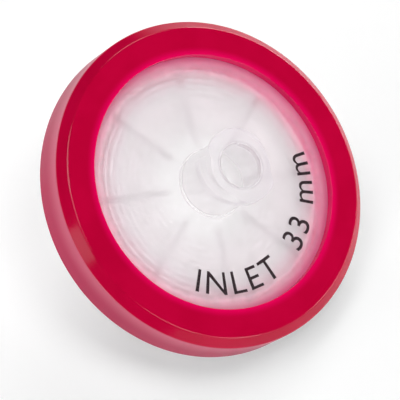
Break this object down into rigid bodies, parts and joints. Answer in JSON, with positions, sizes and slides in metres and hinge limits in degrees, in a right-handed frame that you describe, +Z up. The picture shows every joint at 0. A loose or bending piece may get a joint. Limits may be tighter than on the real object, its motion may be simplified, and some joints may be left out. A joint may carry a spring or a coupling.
{
  "type": "syringe filter",
  "caption": "Round syringe filter with a crimson overmoulded ring, a female luer lock inlet and a male luer slip outlet, lying tilted on its rim and outlet tip.",
  "frame": {"origin": "point on the resting surface straight below the centre of the disc, which is the bottom centre of the whole part", "axes": "+Z up; the disc's axis lies in the XZ plane, and its inlet leans 31.16 degrees from +Z towards +X, so the rim rests at the +X side and the outlet tip at the -X side"},
  "size_m": [0.0306, 0.0336, 0.0212],
  "materials": {
    "ring_polypropylene": "glossy dark crimson moulded polypropylene",
    "clear_polypropylene": "milky translucent natural polypropylene",
    "membrane_polymer": "matt white porous film"
  },
  "bodies": {
    "root": {"sealing_ring": "ring_polypropylene", "inlet_housing": "clear_polypropylene", "membrane": "membrane_polymer", "outlet_housing": "clear_polypropylene"}
  },
  "joints": []
}
